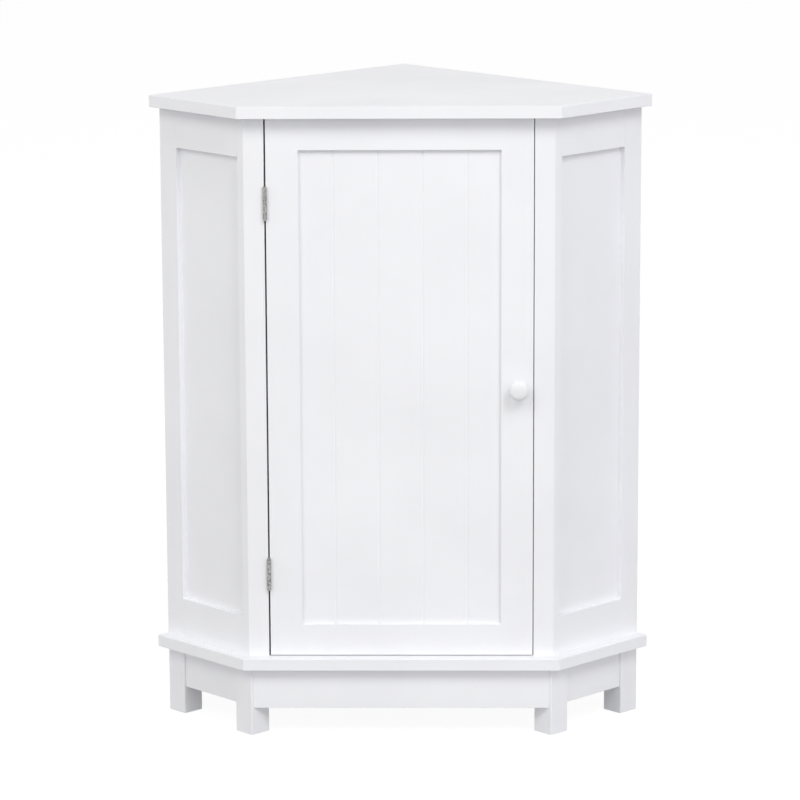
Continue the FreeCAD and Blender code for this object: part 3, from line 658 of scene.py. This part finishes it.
def shelfPinTree():
    tree, size = newTree("shelfPinTree", shelfPin, takesMesh=True)
    whole = addNode(tree, "ShaderNodeMath", {0: size["Seat"], 1: size["Reach"]}, operation="ADD")
    straight = addNode(tree, "ShaderNodeMath", {0: whole.outputs[0], 1: size["Tip"]}, operation="SUBTRACT")
    start = addNode(tree, "ShaderNodeMath", {0: size["Seat"], 1: -1.0}, operation="MULTIPLY")
    middle = addNode(tree, "ShaderNodeMath", {
        0: straight.outputs[0], 1: 0.5, 2: start.outputs[0]}, operation="MULTIPLY_ADD")
    peg = addNode(tree, "GeometryNodeMeshCylinder", {
        "Vertices": size["Sides"], "Radius": size["Radius"], "Depth": straight.outputs[0]})
    tipTop = addNode(tree, "ShaderNodeMath", {0: size["Radius"], 1: size["Tip"]}, operation="SUBTRACT")
    tipFoot = addNode(tree, "ShaderNodeMath", {0: size["Reach"], 1: size["Tip"]}, operation="SUBTRACT")
    tip = addNode(tree, "GeometryNodeMeshCone", {
        "Vertices": size["Sides"], "Radius Top": tipTop.outputs[0], "Radius Bottom": size["Radius"],
        "Depth": size["Tip"]})
    collar = addNode(tree, "GeometryNodeMeshCylinder", {
        "Vertices": size["Sides"], "Radius": size["Collar Radius"], "Depth": size["Collar"]})
    half = addNode(tree, "ShaderNodeMath", {0: size["Collar"], 1: 0.5}, operation="MULTIPLY")
    pin = addNode(tree, "GeometryNodeJoinGeometry", {0: [
        moveAlong(tree, peg.outputs["Mesh"], middle.outputs[0]),
        moveAlong(tree, tip.outputs["Mesh"], tipFoot.outputs[0]),
        moveAlong(tree, collar.outputs["Mesh"], half.outputs[0]),
    ]})
    closeTree(tree, placeOnSpots(tree, size, pin.outputs[0]), zincPlate)
    return tree


def addShelfPins():
    height = shelfPinSpots["heightMm"]
    spots = []
    for side in (-1, 1):
        inBack = Vector((side * shelfPinSpots["backXMm"], shelfPinSpots["backYMm"], height)) * mm
        inPost = Vector((side * shelfPinSpots["postXMm"], shelfPinSpots["postYMm"], height)) * mm
        spots += [(inBack, (-side, -1, 0)), (inPost, (0, 1, 0))]
    mesh = growMesh("shelfPins", shelfPinTree(), shelfPin, spotMesh("shelfPins", spots))
    shadeRound(mesh, shelfPinSharpDegrees)
    addPiece("shelfPins", mesh, zincPlate, "carcass", ["shelf_pins"])


addShelfPins()
print("shelf pins set")

# Camera at the photograph's place, its turns in degrees
cameraSetup = {
    "place": (0.0718, -4.7959, 1.4156), "yaw": -0.897, "pitch": 12.073, "roll": 0.244,
    "focalPixels": 3791.5, "framePixels": 800, "sensorMm": 36,
}


def addCamera():
    yaw, pitch, roll = (math.radians(cameraSetup[turn]) for turn in ("yaw", "pitch", "roll"))
    ahead = Vector((math.sin(yaw) * math.cos(pitch), math.cos(yaw) * math.cos(pitch), -math.sin(pitch)))
    level = Vector((math.cos(yaw), -math.sin(yaw), 0))
    down = ahead.cross(level)
    right = math.cos(roll) * level + math.sin(roll) * down
    up = -(math.cos(roll) * down - math.sin(roll) * level)
    lens = bpy.data.cameras.new("camera")
    lens.sensor_width = cameraSetup["sensorMm"]
    lens.lens = cameraSetup["focalPixels"] * cameraSetup["sensorMm"] / cameraSetup["framePixels"]
    camera = addObject("camera", lens)
    turned = Matrix((right, up, -ahead)).transposed().to_4x4()
    camera.matrix_world = Matrix.Translation(cameraSetup["place"]) @ turned
    bpy.context.scene.camera = camera


addCamera()

# Studio: a pale floor, pale walls under a darker ceiling, and a soft lamp on either side of the camera
studio = {
    "wallLight": 1.56, "ceilingLight": 0.2, "ceilingFrom": 0.8,  # sine of the height where the ceiling begins
    "seenLight": 1.0, "seenColour": (1, 1, 1, 1),  # the white that the camera and the metal see
    "floorHalf": 30, "floorColour": "#B4B4B4", "floorGlow": 0.7, "floorWhite": 1.31,
    "aim": (0, -0.1, 0.45), "lampWide": 1.9, "lampTall": 2.5, "lampDistance": 6,
    "lamps": {  # watts, and degrees to the right of the front and above the floor
        "rightSoftbox": {"watts": 133, "colour": "#FDFEFF", "right": 31, "height": 46},
        "leftSoftbox": {"watts": 88, "colour": "#FFFFF9", "right": -34, "height": 43},
    },
}


def seenRays(tree):
    rays = addNode(tree, "ShaderNodeLightPath").outputs
    mirrored = addNode(tree, "ShaderNodeMath", {
        0: rays["Is Glossy Ray"], 1: rays["Is Transmission Ray"]}, operation="MAXIMUM")
    seen = addNode(tree, "ShaderNodeMath", {
        0: rays["Is Camera Ray"], 1: mirrored.outputs[0]}, operation="MAXIMUM")
    return seen.outputs[0]


def addRoom():
    world = bpy.data.worlds.new("studio")
    world.use_nodes = True
    bpy.context.scene.world = world
    tree = world.node_tree
    way = addNode(tree, "ShaderNodeTexCoord").outputs["Generated"]
    height = addNode(tree, "ShaderNodeSeparateXYZ", {0: way}).outputs["Z"]
    walls = addNode(tree, "ShaderNodeMapRange", {
        "Value": height, "From Max": studio["ceilingFrom"],
        "To Min": studio["wallLight"], "To Max": studio["ceilingLight"]})
    strength = addNode(tree, "ShaderNodeMapRange", {
        "Value": seenRays(tree), "To Min": walls.outputs["Result"], "To Max": studio["seenLight"]})
    room = tree.nodes["Background"]
    room.inputs["Color"].default_value = studio["seenColour"]
    tree.links.new(strength.outputs["Result"], room.inputs["Strength"])


def addFloor():
    shape = bmesh.new()
    bmesh.ops.create_grid(shape, x_segments=1, y_segments=1, size=studio["floorHalf"])
    floor = addObject("floor", toMesh("floor", shape))
    material = bpy.data.materials.new("studioFloor")
    material.use_nodes = True
    tree = material.node_tree
    tree.nodes.remove(tree.nodes["Principled BSDF"])
    share = addNode(tree, "ShaderNodeMath", {0: seenRays(tree), 1: studio["floorGlow"]}, operation="MULTIPLY")
    matt = addNode(tree, "ShaderNodeBsdfDiffuse", {"Color": linear(studio["floorColour"])})
    glow = addNode(tree, "ShaderNodeEmission", {"Strength": studio["floorWhite"]})
    mixed = addNode(tree, "ShaderNodeMixShader", {0: share.outputs[0], 1: matt.outputs[0], 2: glow.outputs[0]})
    tree.links.new(mixed.outputs[0], tree.nodes["Material Output"].inputs["Surface"])
    floor.data.materials.append(material)


def addLamps():
    for name, lampSetup in studio["lamps"].items():
        lamp = bpy.data.lights.new(name, "AREA")
        lamp.shape = "RECTANGLE"
        lamp.size = studio["lampWide"]
        lamp.size_y = studio["lampTall"]
        lamp.energy = lampSetup["watts"]
        lamp.color = linear(lampSetup["colour"])[:3]
        rise, swing = math.radians(lampSetup["height"]), math.radians(lampSetup["right"])
        way = Vector((math.sin(swing) * math.cos(rise), -math.cos(swing) * math.cos(rise), math.sin(rise)))
        place = Vector(studio["aim"]) + way * studio["lampDistance"]
        addObject(name, lamp).matrix_world = Matrix.Translation(place) @ facing(way)


addRoom()
addFloor()
addLamps()
print("camera and studio set")
